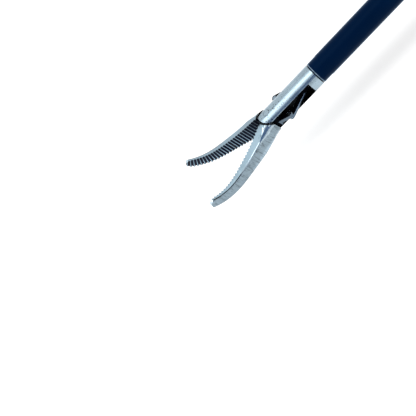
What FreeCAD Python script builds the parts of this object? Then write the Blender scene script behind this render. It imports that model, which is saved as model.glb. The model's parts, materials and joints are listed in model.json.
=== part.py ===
import FreeCAD
import Part
import math
import os

# A laparoscopic grasper with curved dissecting jaws, as an assembly of separate pieces.
# +X runs along the shaft towards the jaws, +Z points out of the side that lies uppermost
# on a table, and the finger rings hang towards +Y. The origin is on the shaft's axis at
# the front of the nose hub, where the working length starts. All sizes are millimetres.
# The jaws are modelled closed and then opened to the rest angle.

# driving dimensions: shaft
working_length = 330.0        # nose hub to jaw tips
shaft_diameter = 5.0          # outside of the insulating sleeve
sleeve_wall = 0.25
tube_wall = 0.3
rod_diameter = 2.0
rod_guide_clearance = 0.06
rod_guide_length = 4.0
rod_guide_count = 3

# driving dimensions: clevis
clevis_step = 0.05            # the clevis is this much smaller in radius than the sleeve
clevis_exposed = 12.0         # jaw pivot to the end of the sleeve
slot_width = 2.9
slot_behind_pivot = 9.75
slot_corner_radius = 0.7
spigot_length = 12.0
clevis_bore_clearance = 0.2
seam_width = 0.14             # dark line between the sleeve and the clevis
lip_length = 2.1              # the sleeve is drawn in slightly at its front end
lip_step = 0.06
lip_chamfer = 0.12

# driving dimensions: jaws
jaw_length = 21.0             # pivot to tip
rest_angle = 17.5             # each jaw's opening at rest, in degrees
hub_clearance = 0.16
shoulder_straight = 2.5       # the round root of each jaw: length at full radius
shoulder_reach = 9.0          # and to where its flats have cut the round away
shoulder_end_radius = 2.3
shoulder_end_shift = -0.45    # of its axis there, towards the outside of the jaw's bend
bite_gap = 0.04               # between the tooth crests when the jaws are shut
tooth_pitch = 0.7
tooth_depth = 0.3
tooth_start = 1.9             # from the pivot
tip_radius = 1.0
back_round = 0.28
side_play = 0.05              # between neighbouring layers in the slot
pivot_pin_diameter = 1.2
pin_clearance = 0.03          # running clearance on radius of every small pin

# Stations along a jaw: distance from the pivot, side shift of the centre line, width
# across the teeth, width across the back, and height from the teeth to the back.
jaw_stations = [
    (1.0, -0.08, 5.6, 4.3, 2.46),
    (4.0, -0.25, 4.95, 3.75, 2.1),
    (6.0, -0.35, 4.35, 3.3, 1.85),
    (8.5, -0.41, 3.7, 2.87, 1.7),
    (11.5, -0.42, 3.15, 2.46, 1.56),
    (15.0, -0.24, 2.75, 2.17, 1.3),
    (18.3, 0.75, 2.45, 1.87, 1.0),
    (20.5, 2.2, 2.2, 1.65, 0.8),
    (22.2, 3.8, 2.1, 1.55, 0.7),
]

# driving dimensions: linkage
tang_reach = 3.7              # jaw pivot to the rivet of its tang
tang_angle = 19.5             # of the tang to the shaft with the jaws shut, in degrees
link_length = 5.2
link_thickness = 0.5
link_boss_radius = 0.64
rivet_radius = 0.38
rivet_play = 0.13             # on radius, lets the linkage follow a constant ratio
rod_end_length = 4.5

# driving dimensions: nose hub and flush port
nose_length = 24.0
nose_radius = 7.0
nose_tip_radius = 3.6
nose_cone_length = 9.0
sleeve_seat_depth = 4.0
port_x = -15.0
port_height = 19.0            # from the shaft's axis to the port's mouth
port_radius = 3.2
port_root_radius = 2.3
luer_radius = 2.02            # mean radius of the tapered socket
luer_depth = 7.5
luer_chamfer = 0.25
port_passage_radius = 1.2
lug_reach = 3.9
lug_height = 1.6

# driving dimensions: knob and spindle
knob_length = 17.5
knob_radius = 13.0
knob_gap = 0.5
flute_count = 8
flute_radius = 4.2
flute_centre_radius = 15.4
spindle_radius = 5.0
spindle_behind_knob = 15.5
spindle_clearance = 0.08
groove_radius = 3.8
seal_length = 2.5
seal_radius = 2.6
o_ring_section = 0.8          # radius of the ring's own section

# driving dimensions: handle
housing_length = 47.0
housing_width = 16.0
housing_top = -11.0
housing_bottom = 14.5
housing_wall = 2.0
housing_edge = 2.0
ring_width = 5.2
ring_thickness = 10.0
ring_edge = 1.5
root_fillet = 7.0             # where an arm runs into its ring
chin_radius = 4.0             # corners of the housing's outline, from the front below
brow_radius = 3.2
crown_back = 18.0             # behind the housing's front
crown_radius = 40.0
shoulder_in = 9.0             # ahead of the housing's back
shoulder_radius = 8.0
heel_drop = 12.0              # below the housing's top
heel_in = 4.0
heel_rise = 3.5
heel_radius = 7.0
belly_in = 16.0
belly_radius = 14.0
finger_inner = 12.0
finger_top = (-8.0, 44.0)     # finger loop and neck: from the housing's front
finger_bottom = (-13.0, 66.0)
neck_start = (-11.5, 9.0)
neck_middle = (-8.5, 20.0)
neck_end = (-7.6, 31.0)
neck_root_half = 8.0
neck_end_half = 5.0
thumb_inner = 12.5
thumb_top = (-38.0, 64.0)     # thumb ring and arm: from the lever's axle
thumb_bottom = (-39.5, 68.0)

# driving dimensions: thumb lever
lever_arm = 6.0               # rod axis to lever axle
lever_behind_spindle = 8.5
lever_thickness = 7.0
lever_boss_radius = 4.2
lever_head_radius = 3.8
arm_start = (0.0, 8.0)
arm_middle = (-9.5, 31.5)
arm_end = (-31.0, 53.5)
arm_start_half = 3.8
arm_end_half = 3.4
arm_edge = 1.2
lever_side_gap = 0.3
axle_radius = 1.5
axle_clearance = 0.05
axle_boss_radius = 3.4
ball_radius = 2.0
ball_clearance = 0.12
neck_radius = 0.9
washer_thickness = 0.5
washer_play = 0.05

# driving dimensions: latch, button, electrode post, screws
latch_thickness = 2.0
latch_width = 12.0
latch_travel = 2.0
latch_clearance = 0.15
latch_depth = 7.0             # of the plate past the shaft's axis
latch_head = 2.4              # of the plate's top below the housing's top
latch_ahead = 5.0             # of the spindle's back end
button_width = 6.0
button_length = 8.0
button_stand = 3.5
button_room = 0.3             # left under the button when it is pressed home
spring_thickness = 0.25
spring_width = 1.8
spring_length = 4.6
post_radius = 2.0
post_root_radius = 1.6
post_length = 13.0
post_in = 11.0                # of the post's base ahead of the housing's back
post_drop = 2.0               # and below its top
post_lean = 40.0              # back from upright, in degrees
post_inside = 2.3             # of the root past the wall
collar_radius = 4.6
collar_height = 4.0
screw_radius = 1.1
screw_head_radius = 2.1
screw_head_height = 1.2
rear_screw_in = 6.5           # ahead of the housing's back
rear_screw_y = 2.0
front_screw_in = 5.5          # behind the housing's front
front_screw_rise = 4.7        # above the housing's underside
ring_screw_back = 2.2         # behind the middle of the finger loop's lower end
leaf_thickness = 0.3
leaf_width = 3.0
leaf_gap = 0.04               # between the leaf and the push rod
leaf_end_gap = 1.4            # between the leaf's end and the spindle

# worked out from the above
sleeve_radius = shaft_diameter / 2
tube_radius = sleeve_radius - sleeve_wall
tube_bore = tube_radius - tube_wall
rod_radius = rod_diameter / 2
clevis_radius = sleeve_radius - clevis_step
pivot_x = working_length - jaw_length
sleeve_end = pivot_x - clevis_exposed
slot_half = slot_width / 2
arm_half_height = math.sqrt(clevis_radius ** 2 - slot_half ** 2)
layer_inner = side_play / 2
layer_outer = slot_half - link_thickness - 2 * side_play
knob_front = -nose_length
knob_back = knob_front - knob_length
housing_front = knob_back - knob_gap
spindle_back = housing_front - spindle_behind_knob
housing_back = housing_front - housing_length
latch_top = housing_top + latch_head
latch_x = spindle_back + latch_ahead
lever_x = spindle_back - lever_behind_spindle
ball_x = lever_x
post_x = housing_back + post_in
post_base_y = housing_top + post_drop
ring_middle = finger_inner + ring_width / 2
screw_places = [
    (housing_back + rear_screw_in, rear_screw_y),
    (housing_front - front_screw_in, housing_bottom - front_screw_rise),
    (housing_front + finger_bottom[0] - ring_screw_back, finger_bottom[1] + ring_middle),
]
rest_tang = math.radians(tang_angle + rest_angle)


def rod_pin_offset(tang):
    """Distance from the jaw pivot back to the rod's link pin, for a tang angle."""
    across = tang_reach * math.sin(tang)
    return tang_reach * math.cos(tang) + math.sqrt(link_length ** 2 - across ** 2)


rod_pin_x = pivot_x - rod_pin_offset(rest_tang)


def vec(x, y, z):
    return FreeCAD.Vector(x, y, z)


def box(x0, x1, y0, y1, z0, z1):
    return Part.makeBox(x1 - x0, y1 - y0, z1 - z0, vec(x0, y0, z0))


def x_cylinder(radius, x0, x1, y=0.0, z=0.0):
    return Part.makeCylinder(radius, x1 - x0, vec(x0, y, z), vec(1, 0, 0))


def z_cylinder(radius, z0, z1, x, y):
    return Part.makeCylinder(radius, z1 - z0, vec(x, y, z0), vec(0, 0, 1))


def x_revolve(profile):
    """Solid of revolution about the shaft's axis from (x, radius) corners."""
    points = [vec(x, r, 0) for x, r in profile]
    wire = Part.makePolygon(points + points[:1])
    return Part.Face(wire).revolve(vec(0, 0, 0), vec(1, 0, 0), 360)


def plate(points, z0, z1):
    """Flat plate with straight-sided outline in the XY plane."""
    corners = [vec(x, y, z0) for x, y in points]
    face = Part.Face(Part.makePolygon(corners + corners[:1]))
    return face.extrude(vec(0, 0, z1 - z0))


def bar(p, p_radius, q, q_radius, z0, z1):
    """Flat bar with two round ends of different radii and straight tangent sides."""
    dx, dy = q[0] - p[0], q[1] - p[1]
    length = math.hypot(dx, dy)
    along = math.atan2(dy, dx)
    turn = math.acos((p_radius - q_radius) / length)

    def on(centre, radius, angle):
        return vec(centre[0] + radius * math.cos(angle), centre[1] + radius * math.sin(angle), z0)

    p_left, p_right = on(p, p_radius, along + turn), on(p, p_radius, along - turn)
    q_left, q_right = on(q, q_radius, along + turn), on(q, q_radius, along - turn)
    edges = [
        Part.makeLine(p_right, q_right),
        Part.Arc(q_right, on(q, q_radius, along), q_left).toShape(),
        Part.makeLine(q_left, p_left),
        Part.Arc(p_left, on(p, p_radius, along + math.pi), p_right).toShape(),
    ]
    return Part.Face(Part.Wire(edges)).extrude(vec(0, 0, z1 - z0))


def rounded_outline(corners, z):
    """Closed wire through (x, y, radius) corners, each one rounded by its own radius."""
    edges, ends = [], []
    for i, (x, y, radius) in enumerate(corners):
        here = vec(x, y, z)
        before = vec(corners[i - 1][0], corners[i - 1][1], z) - here
        following = corners[(i + 1) % len(corners)]
        after = vec(following[0], following[1], z) - here
        before.normalize()
        after.normalize()
        half_angle = before.getAngle(after) / 2
        bisector = before + after
        bisector.normalize()
        reach = radius / math.tan(half_angle)
        depth = radius / math.sin(half_angle) - radius
        start, end = here + before * reach, here + after * reach
        edges.append(Part.Arc(start, here + bisector * depth, end).toShape())
        ends.append((start, end))
    for i, (start, _) in enumerate(ends):
        edges.append(Part.makeLine(ends[i - 1][1], start))
    return Part.Wire(Part.__sortEdges__(edges))


def rounded_plate(corners, z0, z1):
    return Part.Face(rounded_outline(corners, z0)).extrude(vec(0, 0, z1 - z0))


def curved_arm(start, middle, end, start_half, end_half, half_thickness):
    """Flat arm along an arc through three places, its width changing evenly."""
    places = [vec(x, y, -half_thickness) for x, y in (start, middle, end)]
    centre = Part.Arc(*places).toShape().Curve.Center
    halves = [start_half, (start_half + end_half) / 2, end_half]

    def offset(sign):
        points = []
        for place, half in zip(places, halves):
            outward = place - centre
            outward.normalize()
            points.append(place + outward * (sign * half))
        return points

    outer, inner = offset(1), offset(-1)
    edges = [Part.Arc(*outer).toShape(), Part.makeLine(outer[2], inner[2]),
             Part.Arc(*reversed(inner)).toShape(), Part.makeLine(inner[0], outer[0])]
    return Part.Face(Part.Wire(edges)).extrude(vec(0, 0, 2 * half_thickness))


def strip(points, thickness, z0, z1):
    """Bent sheet of one thickness, laid on the left of its points and spread along Z."""
    normals = []
    for p, q in zip(points, points[1:]):
        length = math.hypot(q[0] - p[0], q[1] - p[1])
        normals.append(((p[1] - q[1]) / length, (q[0] - p[0]) / length))
    far = []
    for i, (x, y) in enumerate(points):
        first, last = normals[max(i - 1, 0)], normals[min(i, len(normals) - 1)]
        nx, ny = first[0] + last[0], first[1] + last[1]
        scale = 2 * thickness / (nx * nx + ny * ny)
        far.append((x + nx * scale, y + ny * scale))
    return plate(points + far[::-1], z0, z1)


def rims(shape, half_thickness):
    """Edges that lie wholly in a flat part's two faces."""
    return [e for e in shape.Edges
            if all(abs(abs(v.Z) - half_thickness) < 1e-6 for v in e.Vertexes)
            and abs(abs(e.CenterOfMass.z) - half_thickness) < 1e-6]


def moved(place, x):
    """A place that is measured from x, in the shared frame."""
    return place[0] + x, place[1]


def turned(shape, x, y, degrees):
    """Copy of a shape turned about a line parallel to Z through (x, y)."""
    copy = shape.copy()
    copy.rotate(vec(x, y, 0), vec(0, 0, 1), degrees)
    return copy


def joined(shapes):
    first, rest = shapes[0], shapes[1:]
    return (first.fuse(rest) if rest else first).removeSplitter()


def save(name, shape):
    solids = shape.Solids
    assert solids and shape.isValid(), name
    result = solids[0] if len(solids) == 1 else Part.makeCompound(solids)
    result.exportStep(os.path.join("parts", name + ".step"))
    print(name, len(solids), round(result.Volume, 3))


# Jaws

def centre_curve():
    """The jaw's centre line in the plane of the teeth, before it is opened."""
    curve = Part.BSplineCurve()
    curve.interpolate([vec(x, 0, shift) for x, shift, *_ in jaw_stations])
    return curve


def jaw_section(curve, station):
    """Cross-section of a jaw, square to its centre line, with its back edges broken twice."""
    x, shift, tooth_width, back_width, height = station
    centre = vec(x, 0, shift)
    tangent = curve.tangent(curve.parameter(centre))[0]
    side = vec(-tangent.z, 0, tangent.x)
    up = vec(0, 1, 0)

    def at(across, high):
        return centre + side * across + up * high

    foot, shoulder = tooth_width / 2, back_width / 2
    lean = (foot - shoulder) * back_round / height
    knee = back_round * (1 - math.sqrt(0.5))
    half = [(foot, 0), (shoulder + lean, height - back_round),
            (shoulder - knee + lean / 2, height - knee), (shoulder - back_round, height)]
    corners = [at(across, high) for across, high in half]
    corners += [at(-across, high) for across, high in reversed(half)]
    return Part.makePolygon(corners + corners[:1])


def tooth_grooves(curve, offset):
    """V grooves across the bite, one pitch apart along the centre line."""
    grooves = []
    first, last = curve.FirstParameter, curve.LastParameter
    travelled = tooth_start + offset
    total = curve.length(first, last)
    while travelled < total:
        middle = curve.value(curve.parameterAtDistance(travelled - jaw_stations[0][0], first))
        tangent = curve.tangent(curve.parameter(middle))[0]
        side = vec(-tangent.z, 0, tangent.x)
        half = tangent * (tooth_pitch / 2)
        reach = side * shaft_diameter
        below = vec(0, -tooth_depth * 0.1, 0)
        widen = half * 1.1
        corners = [middle - widen + below, middle + widen + below, middle + vec(0, tooth_depth, 0)]
        corners = [c - reach + vec(0, bite_gap / 2, 0) for c in corners]
        face = Part.Face(Part.makePolygon(corners + corners[:1]))
        grooves.append(face.extrude(reach * 2))
        travelled += tooth_pitch
    return grooves


def rounded_tip(curve):
    """What is cut away beyond the tip to leave it round."""
    low_end, high_end = curve.FirstParameter, curve.LastParameter
    for _ in range(40):
        middle = (low_end + high_end) / 2
        ahead = curve.value(middle) + curve.tangent(middle)[0] * tip_radius
        low_end, high_end = (middle, high_end) if ahead.x < jaw_length else (low_end, middle)
    centre = curve.value(low_end)
    tangent = curve.tangent(curve.parameter(centre))[0]
    side = vec(-tangent.z, 0, tangent.x)
    reach = jaw_length
    corners = [centre - side * reach, centre - side * reach + tangent * reach,
               centre + side * reach + tangent * reach, centre + side * reach]
    low = vec(0, -sleeve_radius, 0)
    corners = [c + low for c in corners]
    slab = Part.Face(Part.makePolygon(corners + corners[:1])).extrude(vec(0, shaft_diameter, 0))
    keep = Part.makeCylinder(tip_radius, shaft_diameter, centre + low, vec(0, 1, 0))
    return slab.cut(keep)


def root_stock():
    """Round stock at the root of a jaw, which leans and thins to where the flats take over."""
    rounds = []
    for x, shift, radius in ((0, 0, clevis_radius), (shoulder_straight, 0, clevis_radius),
                             (shoulder_reach, shoulder_end_shift, shoulder_end_radius)):
        rounds.append(Part.Wire(Part.makeCircle(radius, vec(x, 0, shift), vec(1, 0, 0))))
    return Part.makeLoft(rounds, True, True)


def working_half(curve):
    """The half beyond the pivot, on the +Y side, with its pivot at the origin."""
    blank = Part.makeLoft([jaw_section(curve, s) for s in jaw_stations], True, False)
    far = box(shoulder_reach, jaw_length * 2, -shaft_diameter, shaft_diameter,
              -2 * shaft_diameter, 2 * shaft_diameter)
    blank = blank.common(root_stock().fuse(far))
    shoulder = z_cylinder(arm_half_height + hub_clearance, -shaft_diameter, shaft_diameter, 0, 0)
    blank = blank.cut(shoulder)
    blank = blank.cut(rounded_tip(curve))
    blank.translate(vec(0, bite_gap / 2, 0))
    return blank


def tang(side):
    """Hub and tang of one jaw in its own layer of the slot; side is +1 or -1."""
    z0, z1 = sorted((side * layer_inner, side * layer_outer))
    angle = math.radians(tang_angle)
    end = (-tang_reach * math.cos(angle), -side * tang_reach * math.sin(angle))
    full0, full1 = sorted((side * layer_inner, side * (slot_half - side_play)))
    hub = z_cylinder(arm_half_height, full0, full1, 0, 0)
    arm = bar((0, 0), arm_half_height * 0.75, end, link_boss_radius, z0, z1)
    web_end = arm_half_height + hub_clearance + 0.6
    web_top = side * (clevis_radius - 0.6)
    web = plate([(0, side * bite_gap / 2), (web_end, side * bite_gap / 2),
                 (web_end, web_top), (0, web_top * 0.8)], full0, full1)
    solid = joined([hub, arm, web])
    pivot_hole = z_cylinder(pivot_pin_diameter / 2 + pin_clearance, -slot_width, slot_width, 0, 0)
    rivet_hole = z_cylinder(rivet_radius, -slot_width, slot_width, *end)
    return solid.cut([pivot_hole, rivet_hole]), end


def rivet(side, end):
    """Rivet that a link turns on, fixed in the tang."""
    inner = side * layer_inner
    outer = side * (slot_half - side_play / 2)
    z0, z1 = sorted((inner, outer))
    return z_cylinder(rivet_radius, z0, z1, *end)


def make_jaw(name, side):
    curve = centre_curve()
    half = working_half(curve)
    grooves = tooth_grooves(curve, 0.0 if side > 0 else tooth_pitch / 2)
    if side < 0:
        half = half.mirror(vec(0, 0, 0), vec(0, 1, 0))
        grooves = [g.mirror(vec(0, 0, 0), vec(0, 1, 0)) for g in grooves]
    tail, end = tang(side)
    solid = joined([half, tail]).cut(grooves)
    pin = rivet(side, end)
    for label, shape in ((name, solid), (name.replace("jaw", "rivet"), pin)):
        shape = turned(shape, 0, 0, side * rest_angle)
        shape.translate(vec(pivot_x, 0, 0))
        save(label, shape)


def make_link(name, side):
    """Flat link from the rod's pin to the rivet of one jaw's tang."""
    z0, z1 = sorted((side * (layer_outer + side_play), side * (slot_half - side_play)))
    rivet_place = (pivot_x - tang_reach * math.cos(rest_tang), -side * tang_reach * math.sin(rest_tang))
    pin_place = (rod_pin_x, 0)
    solid = bar(pin_place, link_boss_radius, rivet_place, link_boss_radius, z0, z1)
    pin_hole = z_cylinder(rivet_radius + pin_clearance, -slot_width, slot_width, *pin_place)
    rivet_hole = z_cylinder(rivet_radius + rivet_play, -slot_width, slot_width, *rivet_place)
    save(name, solid.cut([pin_hole, rivet_hole]))


# Shaft and clevis

def make_clevis():
    shoulder_x = sleeve_end
    body = x_cylinder(clevis_radius, shoulder_x + seam_width, pivot_x + arm_half_height)
    seam = x_cylinder(tube_radius - 0.05, shoulder_x, shoulder_x + seam_width)
    spigot = x_cylinder(tube_bore, shoulder_x - spigot_length, shoulder_x)
    solid = body.fuse([seam, spigot])
    slot_end = pivot_x - slot_behind_pivot
    slot = box(slot_end, pivot_x + shaft_diameter, -shaft_diameter, shaft_diameter, -slot_half, slot_half)
    back_edges = [e for e in slot.Edges
                  if abs(e.CenterOfMass.x - slot_end) < 1e-6 and abs(abs(e.CenterOfMass.z) - slot_half) < 1e-6]
    slot = slot.makeFillet(slot_corner_radius, back_edges)
    round_end = z_cylinder(arm_half_height, -shaft_diameter, shaft_diameter, pivot_x, 0)
    nose = box(pivot_x, pivot_x + shaft_diameter, -shaft_diameter, shaft_diameter,
               -shaft_diameter, shaft_diameter).cut(round_end)
    rod_bore = x_cylinder(rod_radius + clevis_bore_clearance, shoulder_x - spigot_length - 1, slot_end + 1)
    pin_hole = z_cylinder(pivot_pin_diameter / 2, -shaft_diameter, shaft_diameter, pivot_x, 0)
    save("clevis", solid.cut([slot, nose, rod_bore, pin_hole]))
    pin = z_cylinder(pivot_pin_diameter / 2, -clevis_radius + 0.03, clevis_radius - 0.03, pivot_x, 0)
    save("jaw_pivot_pin", pin)


def make_shaft():
    tube_end = sleeve_end
    tube_back = knob_front - 6.0
    tube = x_cylinder(tube_radius, tube_back, tube_end).cut(x_cylinder(tube_bore, tube_back, tube_end))
    flush = Part.makeCylinder(port_passage_radius, tube_radius * 2, vec(port_x, 0, 0), vec(0, -1, 0))
    save("shaft_tube", tube.cut(flush))
    lip_radius = sleeve_radius - lip_step
    save("insulation_sleeve", x_revolve([
        (-sleeve_seat_depth, tube_radius), (-sleeve_seat_depth, sleeve_radius),
        (sleeve_end - lip_length - 0.3, sleeve_radius), (sleeve_end - lip_length, lip_radius),
        (sleeve_end - lip_chamfer, lip_radius), (sleeve_end, lip_radius - lip_chamfer * 0.7),
        (sleeve_end, tube_radius),
    ]))
    guides = []
    span = sleeve_end - spigot_length
    for i in range(rod_guide_count):
        x = span * (i + 0.5) / rod_guide_count
        ring = x_cylinder(tube_bore, x, x + rod_guide_length)
        guides.append(ring.cut(x_cylinder(rod_radius + rod_guide_clearance, x, x + rod_guide_length)))
    save("rod_guides", Part.makeCompound(guides))


def make_rod():
    """Push rod with its flattened front end, link pin and the barrel that the lever drives."""
    tongue_half = layer_outer
    end_back = rod_pin_x - rod_end_length
    width = rod_radius - 0.1
    tongue = bar((rod_pin_x, 0), width, (end_back, 0), width, -tongue_half, tongue_half)
    round_stock = x_cylinder(rod_radius + clevis_bore_clearance / 2, end_back - 2, rod_pin_x + 2)
    tongue = tongue.common(round_stock)
    hole = z_cylinder(rivet_radius, -slot_width, slot_width, rod_pin_x, 0)
    tongue = tongue.cut(hole).cut(box(end_back - 3, end_back, -5, 5, -5, 5))
    save("rod_end", tongue)
    save("rod_link_pin", z_cylinder(rivet_radius, -(slot_half - side_play / 2), slot_half - side_play / 2,
                                    rod_pin_x, 0))
    neck_front = ball_x + 5.0
    save("push_rod", x_cylinder(rod_radius, neck_front, end_back))
    half = ball_radius * 0.85
    end_radius = ball_radius * 0.52
    band, band_radius = ball_radius * 0.38, ball_radius * 0.92
    save("rod_barrel", x_revolve([
        (ball_x - half, 0), (ball_x - half, end_radius), (ball_x - band, band_radius),
        (ball_x + band, band_radius), (ball_x + half, end_radius), (ball_x + half, neck_radius),
        (neck_front, neck_radius), (neck_front, 0),
    ]))


# Nose hub, flush port, spindle and knob

def make_nose():
    profile = [
        (-nose_length, tube_radius), (-nose_length, nose_radius),
        (-nose_cone_length, nose_radius), (-nose_cone_length * 0.55, nose_radius * 0.8),
        (-1.0, nose_tip_radius), (0, nose_tip_radius - 0.6), (0, sleeve_radius),
        (-sleeve_seat_depth, sleeve_radius), (-sleeve_seat_depth, tube_radius),
    ]
    hub = x_revolve(profile)
    port_hole = Part.makeCylinder(port_root_radius, nose_radius * 2, vec(port_x, 0, 0), vec(0, -1, 0))
    save("nose_hub", hub.cut(port_hole))


def make_port():
    """Flush port with a female socket and two locking lugs."""
    floor = -(tube_radius + 0.05)
    seat = -math.sqrt(nose_radius ** 2 - port_root_radius ** 2)
    mouth = -port_height
    root = Part.makeCylinder(port_root_radius, floor - seat + 0.5, vec(port_x, floor, 0), vec(0, -1, 0))
    stub = Part.makeCylinder(port_radius, seat - mouth - 0.4, vec(port_x, mouth, 0), vec(0, 1, 0))
    lug_plate = Part.makeCylinder(lug_reach, lug_height, vec(port_x, mouth, 0), vec(0, 1, 0))
    lug_band = box(port_x - port_radius * 0.55, port_x + port_radius * 0.55, mouth, mouth + lug_height,
                   -lug_reach, lug_reach)
    solid = root.fuse([stub, lug_plate.common(lug_band)])
    socket = Part.makeCylinder(luer_radius, luer_depth, vec(port_x, mouth, 0), vec(0, 1, 0))
    socket_edge = Part.makeCone(luer_radius + luer_chamfer, luer_radius, luer_chamfer,
                                vec(port_x, mouth, 0), vec(0, 1, 0))
    passage = Part.makeCylinder(port_passage_radius, port_height, vec(port_x, mouth, 0), vec(0, 1, 0))
    hub_outside = x_cylinder(nose_radius + 0.02, port_x - nose_radius, port_x + nose_radius)
    stub_root = box(port_x - nose_radius, port_x + nose_radius, -nose_radius * 1.5, nose_radius,
                    -nose_radius, nose_radius)
    keep_root = Part.makeCylinder(port_root_radius, nose_radius * 2, vec(port_x, 0, 0), vec(0, -1, 0))
    under = hub_outside.common(stub_root).cut(keep_root)
    solid = solid.cut([socket, socket_edge, passage, under]).removeSplitter()
    save("flush_port", solid)


def make_spindle():
    front = knob_front
    bore = rod_radius + clevis_bore_clearance
    socket_back = knob_front - 6.0
    groove_front = latch_x + latch_thickness / 2 + latch_clearance
    groove_back = latch_x - latch_thickness / 2 - latch_clearance
    ring_x = housing_front - housing_wall
    ring_floor = spindle_radius - o_ring_section * 1.2
    profile = [
        (front, tube_radius), (front, spindle_radius),
        (ring_x + o_ring_section, spindle_radius), (ring_x + o_ring_section, ring_floor),
        (ring_x - o_ring_section, ring_floor), (ring_x - o_ring_section, spindle_radius),
        (groove_front, spindle_radius), (groove_front, groove_radius),
        (groove_back, groove_radius), (groove_back, spindle_radius),
        (spindle_back + 1.0, spindle_radius), (spindle_back, spindle_radius - 1.0),
        (spindle_back, bore),
        (socket_back - seal_length, bore), (socket_back - seal_length, seal_radius),
        (socket_back, seal_radius), (socket_back, tube_radius),
    ]
    save("spindle", x_revolve(profile))
    seal_front = socket_back
    seal = x_cylinder(seal_radius, seal_front - seal_length, seal_front)
    save("rod_seal", seal.cut(x_cylinder(rod_radius + pin_clearance, seal_front - seal_length, seal_front)))
    rise = spindle_radius + spindle_clearance / 2
    half = o_ring_section * 0.95
    save("spindle_o_ring", x_revolve([
        (ring_x - half, ring_floor + 0.3), (ring_x - half, rise - 0.3), (ring_x - half + 0.4, rise),
        (ring_x + half - 0.4, rise), (ring_x + half, rise - 0.3), (ring_x + half, ring_floor + 0.3),
        (ring_x + half - 0.4, ring_floor), (ring_x - half + 0.4, ring_floor),
    ]))


def make_knob():
    """Fluted rotation knob, pressed on the spindle."""
    lip = 1.6
    profile = [
        (knob_back, spindle_radius), (knob_back, knob_radius - lip), (knob_back + lip, knob_radius),
        (knob_front - 4.0, knob_radius), (knob_front - lip * 0.4, knob_radius - 3.0),
        (knob_front, knob_radius - 3.8), (knob_front, spindle_radius),
    ]
    knob = x_revolve(profile)
    flutes = []
    for i in range(flute_count):
        angle = 2 * math.pi * (i + 0.5) / flute_count
        y, z = flute_centre_radius * math.cos(angle), flute_centre_radius * math.sin(angle)
        flutes.append(x_cylinder(flute_radius, knob_back - 1, knob_front + 1, y, z))
    save("rotation_knob", knob.cut(flutes))


# Handle

def ringed_arm(arm, top, bottom, inner, half_thickness, edge):
    """Arm that runs into an oval ring, with the meeting filleted and every rim broken."""
    outer = inner + ring_width
    solid = joined([arm, bar(top, outer, bottom, outer, -half_thickness, half_thickness)])
    meeting = []
    for e in solid.Edges:
        upright = abs(e.Vertexes[0].Z - e.Vertexes[-1].Z) > half_thickness
        away = math.hypot(e.CenterOfMass.x - top[0], e.CenterOfMass.y - top[1])
        if upright and abs(away - outer) < 1e-3 and abs(e.CenterOfMass.y - top[1]) > outer * 0.3:
            meeting.append(e)
    solid = solid.makeFillet(root_fillet, meeting)
    solid = solid.cut(bar(top, inner, bottom, inner, -half_thickness, half_thickness))
    return solid.makeChamfer(edge, rims(solid, half_thickness))


def housing_corners(inset):
    """Outline of the housing's body in the XY plane, drawn in by inset."""
    front, back = housing_front - inset, housing_back + inset
    top, bottom = housing_top + inset, housing_bottom - inset
    corners = [(front, top + 0.6, brow_radius), (front - crown_back, top - 0.4, crown_radius),
               (back + shoulder_in, top + 0.8, shoulder_radius), (back, top + heel_drop, shoulder_radius),
               (back + heel_in, bottom - heel_rise, heel_radius), (back + belly_in, bottom, belly_radius),
               (front, bottom - 0.6, chin_radius)]
    return [(x, y, max(radius - inset, 0.5)) for x, y, radius in corners]


def lever_slot():
    """Opening in the underside of the housing that the thumb lever swings in."""
    half = lever_thickness / 2 + lever_side_gap + washer_thickness
    below = housing_bottom + 4
    return plate([(lever_x - 4.8, lever_arm - 1), (lever_x + 4.8, lever_arm - 1),
                  (lever_x + 5.0, below), (lever_x - 10.5, below), (lever_x - 6.5, lever_arm + 2)],
                 -half, half)


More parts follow.
